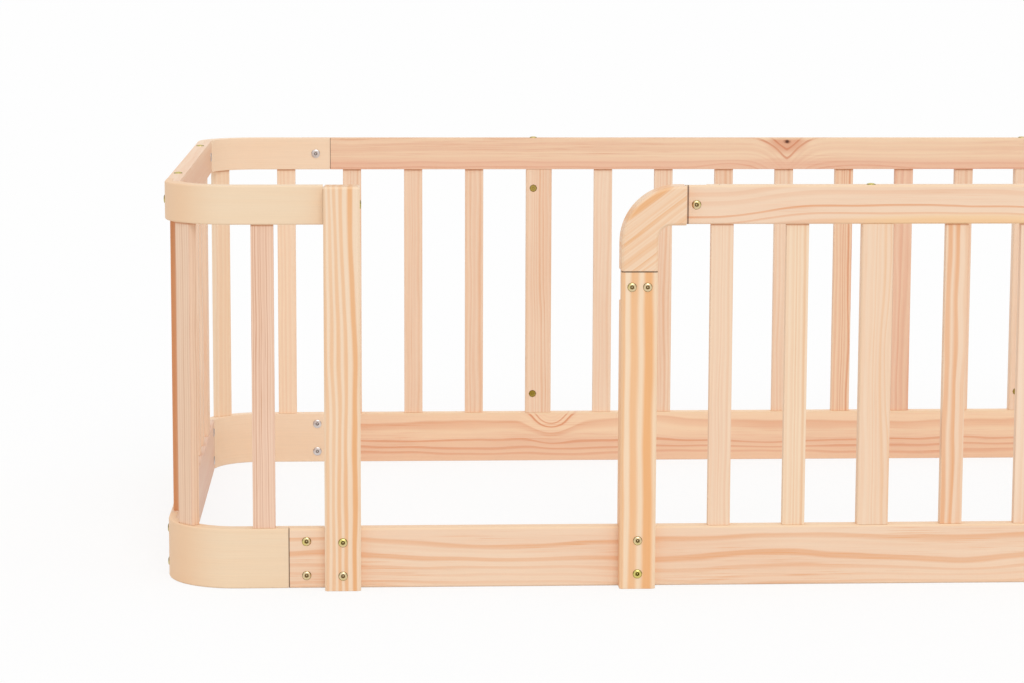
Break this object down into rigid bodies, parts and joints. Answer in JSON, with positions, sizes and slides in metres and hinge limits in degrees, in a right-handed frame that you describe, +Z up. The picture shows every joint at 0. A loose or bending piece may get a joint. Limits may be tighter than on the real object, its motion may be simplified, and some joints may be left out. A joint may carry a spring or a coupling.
{
  "type": "toddler floor bed",
  "caption": "Low solid pine floor bed: slatted rails with rounded corners round an open floor, and a front entry between posts.",
  "frame": {"origin": "centre of the bounding box, on the floor", "axes": "+X along the bed to the right as seen from the entry, +Y from the front to the back, +Z up"},
  "size_m": [1.6516, 0.8696, 0.4628],
  "materials": {
    "pine": "satin clear lacquer",
    "bent_pine": "satin clear lacquer",
    "zinc_yellow": "yellow zinc plate",
    "zinc_silver": "bright zinc plate",
    "barrel_brass": "dull yellow zinc plate"
  },
  "bodies": {
    "root": {"barrel_nuts": "barrel_brass", "bottom_bend_back_left": "bent_pine", "bottom_bend_back_right": "bent_pine", "bottom_bend_front_left": "bent_pine", "bottom_bend_front_right": "bent_pine", "bottom_rail_back": "pine", "bottom_rail_front": "pine", "bottom_rail_left": "pine", "bottom_rail_right": "pine", "corner_slats_back_left": "pine", "corner_slats_back_right": "pine", "corner_slats_front_left": "pine", "corner_slats_front_right": "pine", "end_slats_left": "pine", "end_slats_right": "pine", "entry_corner_block": "pine", "entry_post_left": "pine", "entry_post_right": "pine", "lap_bolts": "zinc_yellow", "long_bolts": "zinc_yellow", "post_bolts": "zinc_yellow", "slat_back_01": "pine", "slat_back_02": "pine", "slat_back_03": "pine", "slat_back_04": "pine", "slat_back_05": "pine", "slat_back_06": "pine", "slat_back_07": "pine", "slat_back_08": "pine", "slat_back_09": "pine", "slat_back_10": "pine", "slat_back_11": "pine", "slat_back_12": "pine", "slat_back_13": "pine", "slat_front_01": "pine", "slat_front_02": "pine", "slat_front_03": "pine", "slat_front_04": "pine", "slat_front_05": "pine", "slat_front_06": "pine", "slat_front_07": "pine", "slat_front_08": "pine", "sleeve_nuts": "zinc_silver", "top_bend_back_left": "bent_pine", "top_bend_back_right": "bent_pine", "top_bend_front_left": "bent_pine", "top_bend_front_right": "bent_pine", "top_rail_back": "pine", "top_rail_front": "pine", "top_rail_left": "pine", "top_rail_right": "pine", "wide_slat_back_left": "pine", "wide_slat_back_right": "pine", "wide_slat_front_left": "pine", "wide_slat_front_right": "pine", "wide_slat_left_back": "pine", "wide_slat_left_front": "pine", "wide_slat_right_back": "pine", "wide_slat_right_front": "pine"}
  },
  "joints": []
}
